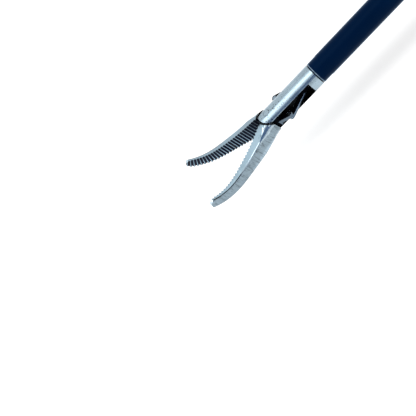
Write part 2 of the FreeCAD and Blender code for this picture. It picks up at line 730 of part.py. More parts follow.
def make_housing():
    half = housing_width / 2
    body = rounded_plate(housing_corners(0), -half, half)
    front_rims = [e for e in rims(body, half) if e.CenterOfMass.x > housing_front - 1e-3]
    soft = [e for e in rims(body, half) if not any(e.isSame(f) for f in front_rims)]
    body = body.makeChamfer(housing_edge, soft)
    ring_half = ring_thickness / 2
    neck = curved_arm(*[moved(p, housing_front) for p in (neck_start, neck_middle, neck_end)],
                      neck_root_half, neck_end_half, ring_half)
    loop = ringed_arm(neck, moved(finger_top, housing_front), moved(finger_bottom, housing_front),
                      finger_inner, ring_half, ring_edge)
    lean = math.radians(post_lean)
    direction = vec(-math.sin(lean), -math.cos(lean), 0)
    post_base = vec(post_x, post_base_y, 0)
    collar = Part.makeCylinder(collar_radius, collar_height + housing_wall, post_base, direction)
    solid = body.fuse([loop, collar])

    inner_half = half - housing_wall
    cavity = rounded_plate(housing_corners(housing_wall), -inner_half, inner_half)
    latch_front = latch_x + latch_thickness / 2 + latch_clearance
    latch_back = latch_x - latch_thickness / 2 - latch_clearance
    front_wall = box(latch_front, housing_front, 2 * housing_top, 2 * housing_bottom, -half, half)
    rear_wall = box(spindle_back - 1.0, latch_back, 2 * housing_top, 2 * housing_bottom, -half, half)
    boss = z_cylinder(screw_radius + 1.6, -half, half, *screw_places[0])
    room_half = lever_thickness / 2 + lever_side_gap + washer_thickness
    axle_boss = z_cylinder(axle_boss_radius, -half, half, lever_x, lever_arm)
    between = box(lever_x - 9, lever_x + 9, lever_arm - 9, lever_arm + 9, -room_half, room_half)
    cavity = cavity.cut([front_wall, rear_wall, boss, axle_boss.cut(between)])

    cuts = [cavity, lever_slot()]
    cuts.append(x_cylinder(spindle_radius + spindle_clearance, spindle_back - 0.5, housing_front + 1))
    cuts.append(x_cylinder(rod_radius + 1.0, spindle_back - 4, spindle_back))
    cuts.append(z_cylinder(axle_radius, -(half - 0.8), half - 0.8, lever_x, lever_arm))
    post_bore_length = post_inside + housing_wall + collar_height + 1.0
    cuts.append(Part.makeCylinder(post_root_radius, post_bore_length,
                                  post_base - direction * post_inside, direction))
    cuts.append(box(latch_back, latch_front, 2 * housing_top, latch_depth + spring_length,
                    -latch_width / 2 - latch_clearance, latch_width / 2 + latch_clearance))
    button_half = button_length / 2 + latch_clearance
    cuts.append(box(latch_x - button_half, latch_x + button_half, 2 * housing_top,
                    latch_top + latch_travel + button_room,
                    -button_width / 2 - latch_clearance, button_width / 2 + latch_clearance))
    for x, y in screw_places:
        top = half if y < housing_bottom else ring_half
        cuts.append(z_cylinder(screw_radius, -top + 1.5, top, x, y))
        cuts.append(Part.makeCone(screw_radius, screw_head_radius, screw_head_height,
                                  vec(x, y, top - screw_head_height), vec(0, 0, 1)))
    solid = solid.cut(cuts)
    reach = 200
    for name, z0, z1 in (("housing_left", 0, reach), ("housing_right", -reach, 0)):
        save(name, solid.common(box(-reach, reach, -reach, reach, z0, z1)))
    return post_base, direction


def make_screws():
    screws = []
    for x, y in screw_places:
        top = (housing_width if y < housing_bottom else ring_thickness) / 2
        shank = z_cylinder(screw_radius, -top + 1.6, top - screw_head_height, x, y)
        head = Part.makeCone(screw_radius, screw_head_radius, screw_head_height,
                             vec(x, y, top - screw_head_height), vec(0, 0, 1))
        socket = plate([(x + 0.9 * math.cos(math.radians(60 * k)), y + 0.9 * math.sin(math.radians(60 * k)))
                        for k in range(6)], top - 0.8, top + 1)
        screws.append(shank.fuse(head).removeSplitter().cut(socket))
    save("housing_screws", Part.makeCompound(screws))


def make_post(base, direction):
    """Electrode post on the collar, its root in the housing, and the leaf that feeds the rod."""
    inner = base - direction * post_inside
    seat = base + direction * (collar_height + housing_wall)
    root = Part.makeCylinder(post_root_radius, (seat - inner).Length, inner, direction)
    stem = Part.makeCylinder(post_radius, post_length - 1.0, seat, direction)
    tip = Part.makeCone(post_radius, post_radius - 0.8, 1.0, seat + direction * (post_length - 1.0), direction)
    save("electrode_post", root.fuse([stem, tip]).removeSplitter())
    across = vec(-direction.y, direction.x, 0)
    low, high = inner - across * post_root_radius, inner + across * post_root_radius
    contact_y = -rod_radius - leaf_gap - leaf_thickness
    leaf_end = spindle_back - leaf_end_gap
    points = [(low.x, low.y), (high.x, high.y), (lever_x - 3.0, high.y + 1.0), (lever_x + 3.0, high.y + 2.0),
              (leaf_end - 1.5, contact_y - 1.4), (leaf_end - 0.7, contact_y), (leaf_end, contact_y - 0.2)]
    save("contact_leaf", strip(points, leaf_thickness, -leaf_width / 2, leaf_width / 2))


def make_lever():
    half = lever_thickness / 2
    axle = (lever_x, lever_arm)
    head = bar(axle, lever_boss_radius, (ball_x, -0.2), lever_head_radius, -half, half)
    arm = curved_arm(*[moved(p, lever_x) for p in (arm_start, arm_middle, arm_end)],
                     arm_start_half, arm_end_half, half)
    arm = ringed_arm(arm, moved(thumb_top, lever_x), moved(thumb_bottom, lever_x),
                     thumb_inner, half, arm_edge)
    solid = joined([head, arm])
    pocket_radius = ball_radius + ball_clearance
    through = pocket_radius + lever_head_radius + 1.0
    pocket = Part.makeCylinder(pocket_radius, through, vec(ball_x, pocket_radius, 0), vec(0, -1, 0))
    slot_half_width = neck_radius + 0.25
    neck_slot = box(ball_x, ball_x + 2 * lever_head_radius, -through, ball_radius,
                    -slot_half_width, slot_half_width)
    bore = z_cylinder(axle_radius + axle_clearance, -half - 1, half + 1, *axle)
    save("thumb_lever", solid.cut([pocket, neck_slot, bore]))
    room = half + lever_side_gap + washer_thickness
    axle_half = housing_width / 2 - 0.9
    save("lever_axle", z_cylinder(axle_radius, -axle_half, axle_half, *axle))
    washers = []
    for z in (room - washer_thickness, -room):
        ring = z_cylinder(axle_boss_radius, z, z + washer_thickness, *axle)
        washers.append(ring.cut(z_cylinder(axle_radius, z, z + washer_thickness, *axle)))
    save("lever_washers", Part.makeCompound(washers))


def make_latch():
    """Keyhole plate that holds the spindle's groove, its button and the bowed leaf under it."""
    x0, x1 = latch_x - latch_thickness / 2, latch_x + latch_thickness / 2
    slab = box(x0, x1, latch_top, latch_depth, -latch_width / 2, latch_width / 2)
    snug = x_cylinder(groove_radius + latch_clearance, x0 - 1, x1 + 1)
    wide = x_cylinder(spindle_radius + latch_clearance, x0 - 1, x1 + 1, -latch_travel)
    save("latch_plate", slab.cut([snug, wide]))
    button = box(latch_x - button_length / 2, latch_x + button_length / 2,
                 housing_top - button_stand, latch_top, -button_width / 2, button_width / 2)
    crown = [e for e in button.Edges if e.CenterOfMass.y < housing_top - button_stand + 1e-3]
    save("release_button", button.makeChamfer(0.9, crown))
    foot = latch_depth + spring_length
    reach = latch_width / 2 - 1.4
    outer = Part.Arc(vec(0, foot, -reach), vec(0, latch_depth, 0), vec(0, foot, reach))
    inner = Part.Arc(vec(0, foot, reach - spring_thickness * 1.4), vec(0, latch_depth + spring_thickness, 0),
                     vec(0, foot, -reach + spring_thickness * 1.4))
    edges = [outer.toShape(), Part.makeLine(outer.EndPoint, inner.StartPoint), inner.toShape(),
             Part.makeLine(inner.EndPoint, outer.StartPoint)]
    bow = Part.Face(Part.Wire(edges)).extrude(vec(spring_width, 0, 0))
    bow.translate(vec(latch_x - spring_width / 2, 0, 0))
    save("button_spring", bow)


def main():
    os.makedirs("parts", exist_ok=True)
    make_jaw("lower_jaw", 1)
    make_jaw("upper_jaw", -1)
    make_link("lower_link", 1)
    make_link("upper_link", -1)
    make_clevis()
    make_shaft()
    make_rod()
    make_nose()
    make_port()
    make_spindle()
    make_knob()
    post_base, post_direction = make_housing()
    make_screws()
    make_post(post_base, post_direction)
    make_lever()
    make_latch()


main()
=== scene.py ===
import json
import math

import bmesh
import bpy
from mathutils import Euler, Matrix, Vector


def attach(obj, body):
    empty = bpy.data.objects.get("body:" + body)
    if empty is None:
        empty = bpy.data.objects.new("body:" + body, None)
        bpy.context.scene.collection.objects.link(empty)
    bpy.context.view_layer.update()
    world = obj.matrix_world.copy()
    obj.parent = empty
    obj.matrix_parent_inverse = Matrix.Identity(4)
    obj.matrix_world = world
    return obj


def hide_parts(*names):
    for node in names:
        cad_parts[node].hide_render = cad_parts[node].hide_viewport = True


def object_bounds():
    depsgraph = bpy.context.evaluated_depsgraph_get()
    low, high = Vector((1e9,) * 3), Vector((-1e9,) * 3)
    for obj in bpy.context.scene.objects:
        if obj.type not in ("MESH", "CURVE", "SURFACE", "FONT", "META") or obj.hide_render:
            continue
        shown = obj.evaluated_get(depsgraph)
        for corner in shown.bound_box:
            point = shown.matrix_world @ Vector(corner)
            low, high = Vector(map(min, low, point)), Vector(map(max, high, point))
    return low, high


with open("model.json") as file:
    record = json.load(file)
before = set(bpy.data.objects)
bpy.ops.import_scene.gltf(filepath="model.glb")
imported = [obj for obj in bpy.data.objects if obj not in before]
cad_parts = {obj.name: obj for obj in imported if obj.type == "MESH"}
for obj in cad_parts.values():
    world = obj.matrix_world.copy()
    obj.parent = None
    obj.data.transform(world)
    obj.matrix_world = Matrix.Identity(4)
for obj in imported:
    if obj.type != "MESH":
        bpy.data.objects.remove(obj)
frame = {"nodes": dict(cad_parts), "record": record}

mm = 0.001
cadLow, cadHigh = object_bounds()
nodes = frame["nodes"]
record = frame["record"]
bodyOf = {node: body for body, names in record["behaviour"]["bodies"].items() for node in names}
jointAt = {joint["name"]: joint.get("pos_m") for joint in record["behaviour"]["joints"]}
pivotX = jointAt["jaw_upper_pivot"][0]  # both jaws turn about this place on the shaft's axis
sleeveEnd = max(v.co.x for v in nodes["insulation_sleeve"].data.vertices) / mm
print("frame loaded:", len(nodes), "nodes")


# camera at the photograph's angle, close over the working end
cameraSettings = {
    "place": (0.282818, 0.118275, 0.119857),
    "turn": (25.5819, 39.5156, 149.8205),  # degrees, about X, then Y, then Z
    "lens": 73.72,
    "sensorWidth": 36,
    "clipFrom": 0.01,
    "clipTo": 20,
}
camera = bpy.data.objects.new("camera", bpy.data.cameras.new("camera"))
camera.location = cameraSettings["place"]
camera.rotation_euler = Euler([math.radians(a) for a in cameraSettings["turn"]], "XYZ")
camera.data.lens = cameraSettings["lens"]
camera.data.sensor_width = cameraSettings["sensorWidth"]
camera.data.clip_start = cameraSettings["clipFrom"]
camera.data.clip_end = cameraSettings["clipTo"]
bpy.context.collection.objects.link(camera)
bpy.context.scene.camera = camera
bpy.context.scene.view_settings.view_transform = "Standard"
print("camera placed")


# node wiring helpers
def addNode(tree, kind, **values):
    node = tree.nodes.new(kind)
    for key, value in values.items():
        setattr(node, key, value)
    return node


def link(tree, source, target):
    tree.links.new(source, target)


def fill(tree, socket, value):  # links another node's output, or sets a plain value
    if hasattr(value, "links"):
        link(tree, value, socket)
    else:
        socket.default_value = value


def calc(tree, how, first, second=None, third=None):  # a Math node; numbers or sockets
    node = addNode(tree, "ShaderNodeMath", operation=how)
    for index, value in enumerate((first, second, third)):
        if value is not None:
            fill(tree, node.inputs[index], value)
    return node.outputs[0]


def vectorCalc(tree, how, first, second, third=None):  # a Vector Math node
    node = addNode(tree, "ShaderNodeVectorMath", operation=how)
    fill(tree, node.inputs[0], first)
    fill(tree, node.inputs["Scale" if how == "SCALE" else 1], second)
    if third is not None:
        fill(tree, node.inputs[2], third)
    return node.outputs[0]


def mixColour(tree, amount, first, second):
    node = addNode(tree, "ShaderNodeMix", data_type="RGBA")
    for index, value in ((0, amount), (6, first), (7, second)):  # the factor, then the two colour sockets
        fill(tree, node.inputs[index], value)
    return node.outputs[2]


def noise(tree, vector, scale, detail=2.0, roughness=0.5, output="Fac"):
    node = addNode(tree, "ShaderNodeTexNoise")
    link(tree, vector, node.inputs["Vector"])
    fill(tree, node.inputs["Scale"], scale)
    node.inputs["Detail"].default_value = detail
    node.inputs["Roughness"].default_value = roughness
    return node.outputs[output]


def remap(tree, value, start, end, toStart, toEnd):  # straight-line change of range, held at both ends
    node = addNode(tree, "ShaderNodeMapRange")
    link(tree, value, node.inputs["Value"])
    for key, number in (("From Min", start), ("From Max", end), ("To Min", toStart), ("To Max", toEnd)):
        node.inputs[key].default_value = number
    return node.outputs[0]


def inMillimetres(tree, point):  # a point's three coordinates
    parts = addNode(tree, "ShaderNodeSeparateXYZ")
    link(tree, vectorCalc(tree, "SCALE", point, 1 / mm), parts.inputs[0])
    return parts.outputs["X"], parts.outputs["Y"], parts.outputs["Z"]


def distance(tree, x, y):
    return calc(tree, "SQRT", calc(tree, "MULTIPLY_ADD", x, x, calc(tree, "MULTIPLY", y, y)))


def darkenBy(tree, mask, depth):  # 1 where the mask is empty, 1 - depth where it is full
    return calc(tree, "MULTIPLY_ADD", mask, -depth, 1.0)


def newGroup(name, inputs, outputs):
    group = bpy.data.node_groups.new(name, "ShaderNodeTree")
    group.interface.new_socket("Vector", in_out="INPUT", socket_type="NodeSocketVector")
    for label, value in inputs:
        socket = group.interface.new_socket(label, in_out="INPUT", socket_type="NodeSocketFloat")
        socket.default_value = value
    for label in outputs:
        group.interface.new_socket(label, in_out="OUTPUT", socket_type="NodeSocketFloat")
    return group, addNode(group, "NodeGroupInput").outputs, addNode(group, "NodeGroupOutput").inputs


# floor, world and lamp
studio = {  # lengths in metres
    "middleX": 0.2,  # the lamp and the card stand over this place on the shaft
    "diffuseLevel": 0.8,  # how strongly the white surroundings light matt surfaces
    "floor": {"colour": (0.93, 0.93, 0.93), "size": 6.0, "middleX": 0.1, "gap": 0.1 * mm,
              "lift": 0.14},  # glow for what is seen directly, so that the lit floor reaches white
    "topStrip": {"across": 0.03, "height": 0.36, "length": 1.6, "width": 0.2, "power": 1.9},
    "darkCard": {"angle": 43.0, "distance": 0.36, "width": 0.2, "length": 1.7, "colour": (0.13, 0.2, 0.34)},
}


def seenDirectly(tree):  # 1 for camera, gloss and glass rays, 0 for the light that surfaces gather
    path = addNode(tree, "ShaderNodeLightPath").outputs
    seen = calc(tree, "MAXIMUM", path["Is Camera Ray"], path["Is Glossy Ray"])
    return calc(tree, "MAXIMUM", seen, path["Is Transmission Ray"])


def bareMaterial(name):
    material = bpy.data.materials.new(name)
    material.use_nodes = True
    tree = material.node_tree
    tree.nodes.clear()
    return material, tree, addNode(tree, "ShaderNodeOutputMaterial").inputs[0]


def flatSheet(name, length, width, turn, place, material):
    shape = bmesh.new()
    bmesh.ops.create_grid(shape, x_segments=1, y_segments=1, size=0.5)
    bmesh.ops.scale(shape, verts=shape.verts, vec=(length, width, 1.0))
    moved = Matrix.Translation(place) @ Matrix.Rotation(turn, 4, "X")
    bmesh.ops.transform(shape, verts=shape.verts, matrix=moved)
    mesh = bpy.data.meshes.new(name)
    shape.to_mesh(mesh)
    shape.free()
    mesh.materials.append(material)
    sheet = bpy.data.objects.new(name, mesh)
    bpy.context.collection.objects.link(sheet)
    return sheet


def buildWorld():
    world = bpy.data.worlds.new("studio")
    bpy.context.scene.world = world
    world.use_nodes = True
    tree = world.node_tree
    tree.nodes.clear()
    base = studio["diffuseLevel"]
    background = addNode(tree, "ShaderNodeBackground")
    background.inputs["Color"].default_value = (1, 1, 1, 1)
    level = calc(tree, "MULTIPLY_ADD", seenDirectly(tree), 1.0 - base, base)
    link(tree, level, background.inputs["Strength"])
    link(tree, background.outputs[0], addNode(tree, "ShaderNodeOutputWorld").inputs[0])


def buildFloor():
    look = studio["floor"]
    material, tree, output = bareMaterial("floorPaper")
    diffuse = addNode(tree, "ShaderNodeBsdfDiffuse")
    diffuse.inputs["Color"].default_value = (*look["colour"], 1)
    glow = addNode(tree, "ShaderNodeEmission")
    link(tree, calc(tree, "MULTIPLY", seenDirectly(tree), look["lift"]), glow.inputs["Strength"])
    both = addNode(tree, "ShaderNodeAddShader")
    link(tree, diffuse.outputs[0], both.inputs[0])
    link(tree, glow.outputs[0], both.inputs[1])
    link(tree, both.outputs[0], output)
    place = Vector((look["middleX"], 0.0, cadLow.z - look["gap"]))
    flatSheet("floor", look["size"], look["size"], 0.0, place, material)


def buildLamp():  # a long strip above the shaft, which draws the bright line along the steel
    look = studio["topStrip"]
    lamp = bpy.data.lights.new("topStrip", "AREA")
    lamp.shape = "RECTANGLE"
    lamp.size = look["length"]
    lamp.size_y = look["width"]
    lamp.energy = look["power"]
    holder = bpy.data.objects.new("topStrip", lamp)
    holder.location = (studio["middleX"], look["across"], look["height"])
    holder.rotation_euler = (-math.atan2(look["across"], look["height"]), 0, 0)
    bpy.context.collection.objects.link(holder)


def buildCard():  # a blue-grey card that only gloss and metal see: the dark line beside the bright one
    look = studio["darkCard"]
    material, tree, output = bareMaterial("darkCard")
    glow = addNode(tree, "ShaderNodeEmission")
    glow.inputs["Color"].default_value = (*look["colour"], 1)
    link(tree, glow.outputs[0], output)
    angle = math.radians(look["angle"])
    across = math.cos(angle) * look["distance"]
    height = math.sin(angle) * look["distance"]
    place = Vector((studio["middleX"], across, height))
    card = flatSheet("darkCard", look["length"], look["width"], angle - math.pi / 2, place, material)
    card.visible_camera = False
    card.visible_diffuse = False
    card.visible_shadow = False
    card.visible_transmission = False


buildWorld()
buildFloor()
buildLamp()
buildCard()
print("studio built")


# effects that several finishes share
textures = {
    "grain": {"detail": 4.0, "roughness": 0.6, "cloudScale": 350.0, "cloudDetail": 3.0},
    "pits": {"wobbleScale": 2.0, "wobbleReach": 0.6 * mm, "spreadScale": 0.35},  # scales beside the pits' own
    "skin": {"blotchScale": 180.0, "blotchDetail": 5.0, "streaks": (90.0, 520.0, 610.0),
             "streakWidth": 0.006, "scuffedAbove": 0.55},
}


def buildGrainGroup():  # fine lines that run along one axis, as brushing leaves them, and slow clouds
    look = textures["grain"]
    group, source, sink = newGroup("brushedGrain", [("Across", 900.0), ("Along", 40.0)], ["Lines", "Cloud"])
    stretch = addNode(group, "ShaderNodeCombineXYZ")
    for index, name in enumerate(("Along", "Across", "Across")):
        link(group, source[name], stretch.inputs[index])
    scaled = vectorCalc(group, "MULTIPLY", source["Vector"], stretch.outputs[0])
    link(group, noise(group, scaled, 1.0, look["detail"], look["roughness"]), sink["Lines"])
    link(group, noise(group, source["Vector"], look["cloudScale"], look["cloudDetail"]), sink["Cloud"])
    return group


def buildPitGroup():  # small ragged specks and pits, thinned out by a slow noise
    look = textures["pits"]
    inputs = [("Scale", 1600.0), ("Size", 0.16), ("Cover", 0.5)]
    group, source, sink = newGroup("tinyPits", inputs, ["Pits"])
    wobbleScale = calc(group, "MULTIPLY", source["Scale"], look["wobbleScale"])
    wobble = noise(group, source["Vector"], wobbleScale, output="Color")
    cells = addNode(group, "ShaderNodeTexVoronoi")
    cells.inputs["Randomness"].default_value = 1.0
    link(group, source["Scale"], cells.inputs["Scale"])
    link(group, vectorCalc(group, "MULTIPLY_ADD", wobble, [look["wobbleReach"]] * 3, source["Vector"]),
         cells.inputs["Vector"])
    spread = noise(group, source["Vector"], calc(group, "MULTIPLY", source["Scale"], look["spreadScale"]))
    near = calc(group, "LESS_THAN", cells.outputs["Distance"], source["Size"])
    some = calc(group, "GREATER_THAN", spread, source["Cover"])
    link(group, calc(group, "MULTIPLY", near, some), sink["Pits"])
    return group


def buildSkinGroup():  # moulded plastic: fine grain, slow blotches, and thin scuffs on some of them
    look = textures["skin"]
    group, source, sink = newGroup("mouldedSkin", [("Grain", 9000.0)], ["Fine", "Slow", "Scuffs"])
    slow = noise(group, source["Vector"], look["blotchScale"], look["blotchDetail"])
    streak = noise(group, vectorCalc(group, "MULTIPLY", source["Vector"], look["streaks"]), 1.0)
    thin = calc(group, "COMPARE", streak, 0.5, look["streakWidth"])
    some = calc(group, "GREATER_THAN", slow, look["scuffedAbove"])
    link(group, noise(group, source["Vector"], source["Grain"]), sink["Fine"])
    link(group, slow, sink["Slow"])
    link(group, calc(group, "MULTIPLY", thin, some), sink["Scuffs"])
    return group


grainGroup = buildGrainGroup()
pitGroup = buildPitGroup()
skinGroup = buildSkinGroup()


def useGroup(tree, group, vector, **values):
    node = addNode(tree, "ShaderNodeGroup", node_tree=group)
    link(tree, vector, node.inputs["Vector"])
    for key, value in values.items():
        node.inputs[key].default_value = value
    return node.outputs


def turned(tree, vector, axis, angle):
    node = addNode(tree, "ShaderNodeVectorRotate", rotation_type=axis)
    link(tree, vector, node.inputs["Vector"])
    node.inputs["Angle"].default_value = angle
    return node.outputs[0]


def objectPoint(tree):
    return addNode(tree, "ShaderNodeTexCoord").outputs["Object"]


def startMaterial(name):
    material = bpy.data.materials.new(name)
    material.use_nodes = True
    tree = material.node_tree
    return material, tree, tree.nodes["Principled BSDF"]


def addBump(tree, shader, height, strength, depth):
    bump = addNode(tree, "ShaderNodeBump")
    bump.inputs["Strength"].default_value = strength
    bump.inputs["Distance"].default_value = depth
    link(tree, height, bump.inputs["Height"])
    link(tree, bump.outputs[0], shader.inputs["Normal"])


# steels
steelPattern = {
    "speckScale": 2600.0, "speckSize": 0.2,
    "roughByLine": 0.14, "roughByCloud": 0.08,  # how far grain and clouds vary the roughness
    "bumpDepth": 0.03 * mm,
}


def makeSteel(name, colour, rough=0.22, grainAcross=2500.0, grainAlong=120.0, grainBump=0.08, pits=0.5,
              lineDepth=0.3, cloudDepth=0.24, pitDepth=0.35, jawSide=0, darken=None, crosswise=False,
              lowest=(0.0, 0.0, 0.0)):
    material, tree, shader = startMaterial(name)
    point = objectPoint(tree)
    if jawSide:  # the pattern lies along an opened jaw and starts at its pivot
        point = vectorCalc(tree, "SUBTRACT", point, (pivotX, 0, 0))
        point = turned(tree, point, "Z_AXIS", -jawSide * math.radians(workingEnd["restAngle"]))
    direction = turned(tree, point, "Y_AXIS", math.pi / 2) if crosswise else point  # grain along Z, not X
    grain = useGroup(tree, grainGroup, direction, Across=grainAcross, Along=grainAlong)
    specks = useGroup(tree, pitGroup, point, Scale=steelPattern["speckScale"],
                      Size=steelPattern["speckSize"], Cover=pits)
    tone = calc(tree, "MULTIPLY_ADD", grain["Lines"], lineDepth, 1.0 - lineDepth / 2)
    cloud = calc(tree, "MULTIPLY_ADD", grain["Cloud"], cloudDepth, 1.0 - cloudDepth / 2)
    tone = calc(tree, "MULTIPLY", tone, cloud)
    tone = calc(tree, "MULTIPLY", tone, darkenBy(tree, specks["Pits"], pitDepth))
    if darken is not None:
        tone = calc(tree, "MULTIPLY", tone, darken(tree, point))
    toned = vectorCalc(tree, "SCALE", colour, tone)
    link(tree, vectorCalc(tree, "MAXIMUM", toned, lowest), shader.inputs["Base Color"])
    shader.inputs["Metallic"].default_value = 1.0
    byLine = steelPattern["roughByLine"]
    roughness = calc(tree, "MULTIPLY_ADD", grain["Lines"], byLine, rough - byLine / 2)
    roughness = calc(tree, "MULTIPLY_ADD", grain["Cloud"], steelPattern["roughByCloud"], roughness)
    link(tree, roughness, shader.inputs["Roughness"])
    height = calc(tree, "SUBTRACT", grain["Lines"], specks["Pits"])
    addBump(tree, shader, height, grainBump, steelPattern["bumpDepth"])
    return material


workingEnd = {
    "restAngle": 17.5,  # degrees that each jaw is open at rest
    "clevisColour": (0.34, 0.44, 0.51),
    # painted highlight: a bright copy of the steel for broken edges, ridges and the jaws' tip ends
    "edgeHighlightColour": (0.62, 0.76, 0.85),
    # painted shade: a dimmer copy of the steel for the pins, rivets and rod end in the slot
    "rimShadeColour": (0.26, 0.34, 0.41),
    # painted shade: a dark copy of the steel for the links and tangs in the slot
    "linkShadeColour": (0.11, 0.15, 0.19),
}
clevisLook = {  # lengths in millimetres
    "slotEnd": 299.23, "slotHalf": 1.452, "slotShadeDepth": 0.99,  # painted shade: the slot's walls are nearly black
    "pinRing": 0.65, "ringWidth": 0.09, "ringWear": 0.49, "wearScale": 2400.0,
    "pits": {"Scale": 2100.0, "Size": 0.3, "Cover": 0.47},
    "pitsFrom": 302.5, "pitsTo": 307.0, "pitsLeast": 0.15, "pitsMost": 0.8,  # denser towards the fork's end
    "markDepth": 0.8,
    "seamWidth": 0.15, "seamShadeDepth": 0.98,  # painted shade: dark line in the gap where the sleeve ends
}
jawPaint = {  # places in millimetres along the jaw from its pivot
    "gapEnd": 2.62, "gapBlur": 0.15, "gapShadeLevel": 0.02,  # painted shade: black in the gap beside the fork's end
    # painted reflection: the ridge fades from bright to dark towards the tip
    "ridgeFrom": 9.0, "ridgeTo": 13.0, "ridgeLeast": 0.03,
    # painted shade: the side facets are darker near the hinge
    "sideFrom": 2.5, "sideTo": 9.0, "sideLeast": 0.85,
    "smudges": (4200.0, 900.0, 700.0), "smudgeFrom": 0.5, "smudgeTo": 0.72, "smudgeLeast": 0.45,
    # painted highlight: the back is lighter along its low edge near the root
    "backHighlightDeep": -1.3, "backHighlightHigh": -0.7, "backHighlight": 0.55, "backHighlightFrom": 7.0, "backHighlightTo": 12.0,
    "backColour": (0.24, 0.31, 0.36),
    # painted highlight: the round root is a brighter copy of the steel
    "rootHighlightColour": (0.46, 0.57, 0.64),
    "crestColour": (0.33, 0.49, 0.62),
    # painted shade: the tooth grooves are near black
    "grooveShadeColour": (0.0005, 0.004, 0.015),
    "crestFrom": 0.045, "crestTo": 0.09, "grooveShadeLevel": 0.004,  # height of each tooth that is bright
    "toothShadeFrom": 4.0, "toothShadeTo": 8.0, "toothShadeLeast": 0.3,  # painted shade: the teeth near the hinge stay dark
}
shadowLook = {
    "colour": (0.0004, 0.0005, 0.0012), "dustScale": 2500.0, "dustDetail": 3.0,
    "dustTone": (2.4, 0.2), "dustRough": (0.3, 0.35),  # factor and offset for the noise
    "specular": 0.02, "tint": (0.5, 0.7, 1.0, 1.0), "bump": 0.08, "bumpDepth": 0.02 * mm,
}


def clevisShade(tree, point):  # painted shade on the black slot walls and in the sleeve's seam, with a worn ring round the pin and pits
    look = clevisLook
    x, y, z = inMillimetres(tree, point)
    inside = calc(tree, "LESS_THAN", calc(tree, "ABSOLUTE", z), look["slotHalf"])
    beyond = calc(tree, "GREATER_THAN", x, look["slotEnd"])
    # painted shade: the slot's walls are nearly black
    slotShade = darkenBy(tree, calc(tree, "MULTIPLY", inside, beyond), look["slotShadeDepth"])
    away = distance(tree, calc(tree, "SUBTRACT", x, pivotX / mm), y)
    ring = calc(tree, "COMPARE", away, look["pinRing"], look["ringWidth"])
    worn = calc(tree, "GREATER_THAN", noise(tree, point, look["wearScale"]), look["ringWear"])
    pits = useGroup(tree, pitGroup, point, **look["pits"])["Pits"]
    nearEnd = remap(tree, x, look["pitsFrom"], look["pitsTo"], look["pitsLeast"], look["pitsMost"])
    marks = calc(tree, "MAXIMUM", calc(tree, "MULTIPLY", ring, worn), calc(tree, "MULTIPLY", nearEnd, pits))
    # painted shade: a dark line on the fork's neck where the sleeve ends
    seamShade = calc(tree, "LESS_THAN", x, sleeveEnd + look["seamWidth"])
    slotShade = calc(tree, "MULTIPLY", slotShade, darkenBy(tree, seamShade, look["seamShadeDepth"]))
    return calc(tree, "MULTIPLY", slotShade, darkenBy(tree, marks, look["markDepth"]))


def ridgeReflection(tree, point):  # painted reflection: the broken ridge is bright at the root and dark towards the tip
    x = inMillimetres(tree, point)[0]
    return remap(tree, x, jawPaint["ridgeFrom"], jawPaint["ridgeTo"], 1.0, jawPaint["ridgeLeast"])


def hingeGapShade(tree, point):  # painted shade: black in the gap close to the fork's end, where the jaw turns
    x, y, _ = inMillimetres(tree, point)
    end = jawPaint["gapEnd"]
    return remap(tree, distance(tree, x, y), end - jawPaint["gapBlur"], end, jawPaint["gapShadeLevel"], 1.0)


def sideShade(tree, point):  # painted shade: the side facets are darker near the hinge, and black in the gap by the fork's end
    x = inMillimetres(tree, point)[0]
    nearHingeShade = remap(tree, x, jawPaint["sideFrom"], jawPaint["sideTo"], jawPaint["sideLeast"], 1.0)
    return calc(tree, "MULTIPLY", nearHingeShade, hingeGapShade(tree, point))


def backSmudgesAndHighlight(tree, point):  # smudges that lie across the jaw's back, and a painted highlight low on the back at the root
    look = jawPaint
    blot = noise(tree, vectorCalc(tree, "MULTIPLY", point, look["smudges"]), 1.0)
    smudge = remap(tree, blot, look["smudgeFrom"], look["smudgeTo"], 1.0, look["smudgeLeast"])
    x, _, z = inMillimetres(tree, point)
    # painted highlight: lighter low on the back near the root
    low = remap(tree, z, look["backHighlightDeep"], look["backHighlightHigh"], look["backHighlight"], 0.0)
    near = remap(tree, x, look["backHighlightFrom"], look["backHighlightTo"], 1.0, 0.0)
    return calc(tree, "MULTIPLY", smudge, calc(tree, "MULTIPLY_ADD", low, near, 1.0))


def toothShade(side):  # painted shade: bright crests that fall off to black grooves, darker towards the hinge
    def shade(tree, point):
        look = jawPaint
        x, y, _ = inMillimetres(tree, point)
        high = calc(tree, "MULTIPLY", y, side)
        fall = remap(tree, high, look["crestFrom"], look["crestTo"], 1.0, look["grooveShadeLevel"])
        # painted shade: the teeth are darker towards the hinge
        worn = remap(tree, x, look["toothShadeFrom"], look["toothShadeTo"], look["toothShadeLeast"], 1.0)
        return calc(tree, "MULTIPLY", fall, worn)
    return shade


def makeShadow(name):  # what the slot looks like: nearly black, with a trace of gloss
    look = shadowLook
    material, tree, shader = startMaterial(name)
    dust = noise(tree, objectPoint(tree), look["dustScale"], look["dustDetail"])
    tone = calc(tree, "MULTIPLY_ADD", dust, *look["dustTone"])
    link(tree, vectorCalc(tree, "SCALE", look["colour"], tone), shader.inputs["Base Color"])
    link(tree, calc(tree, "MULTIPLY_ADD", dust, *look["dustRough"]), shader.inputs["Roughness"])
    shader.inputs["Specular IOR Level"].default_value = look["specular"]
    shader.inputs["Specular Tint"].default_value = look["tint"]
    addBump(tree, shader, dust, look["bump"], look["bumpDepth"])
    return material


